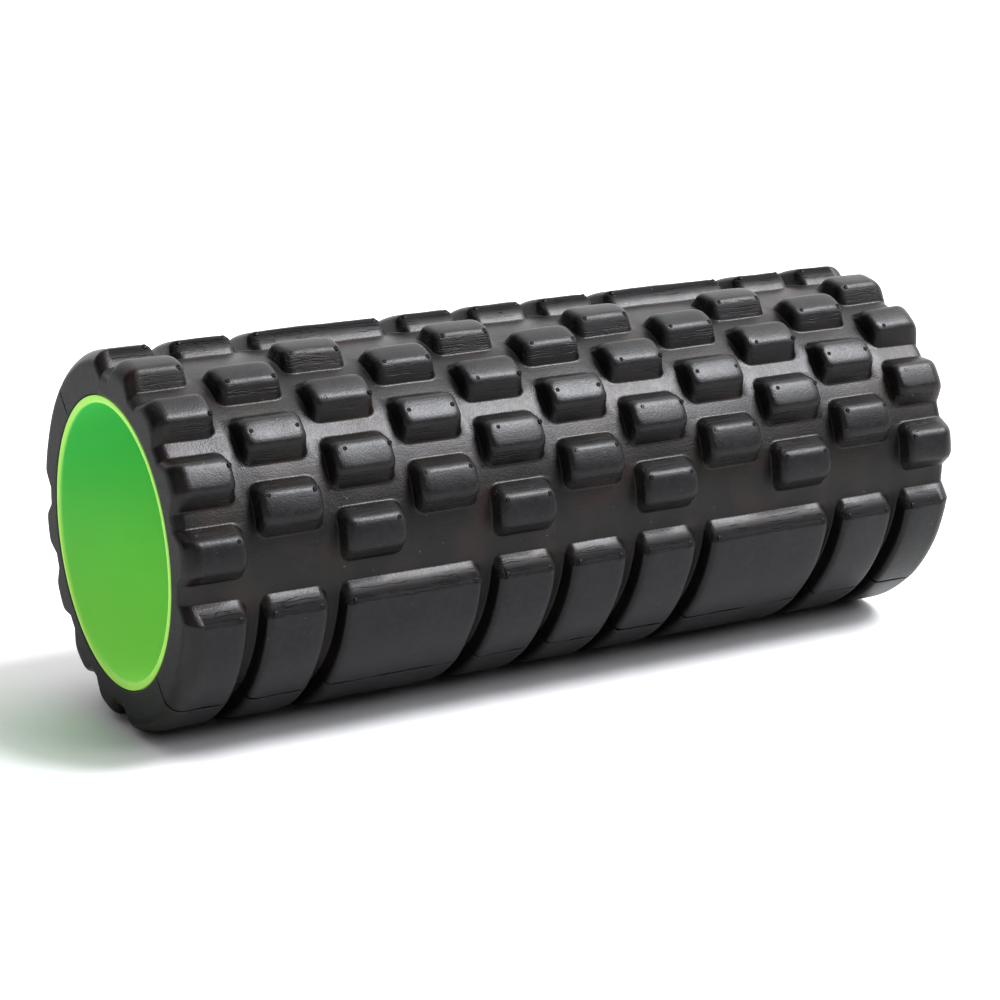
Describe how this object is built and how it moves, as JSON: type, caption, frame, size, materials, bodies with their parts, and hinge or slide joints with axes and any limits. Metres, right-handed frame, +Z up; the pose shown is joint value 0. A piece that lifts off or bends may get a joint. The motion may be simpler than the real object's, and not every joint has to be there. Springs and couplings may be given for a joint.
{
  "type": "foot massage roller",
  "caption": "Hollow-core massage roller: a green plastic tube in a black foam sleeve with staggered knobs, long blocks and two lengthwise seams.",
  "frame": {"origin": "on the axis of the tube, at mid-length", "axes": "+X along the tube's axis, +Z up as the roller lies, -Y towards the front half-sleeve's side"},
  "size_m": [0.33, 0.1388, 0.1378],
  "materials": {
    "green_core": "bright green extruded plastic, satin inside, paler cut rim",
    "black_foam": "moulded closed-cell foam with a satin skin",
    "adhesive": "thin dried contact adhesive"
  },
  "bodies": {
    "root": {"core_tube": "green_core", "front_sleeve": "black_foam", "rear_sleeve": "black_foam", "front_bond_film": "adhesive", "rear_bond_film": "adhesive"}
  },
  "joints": []
}
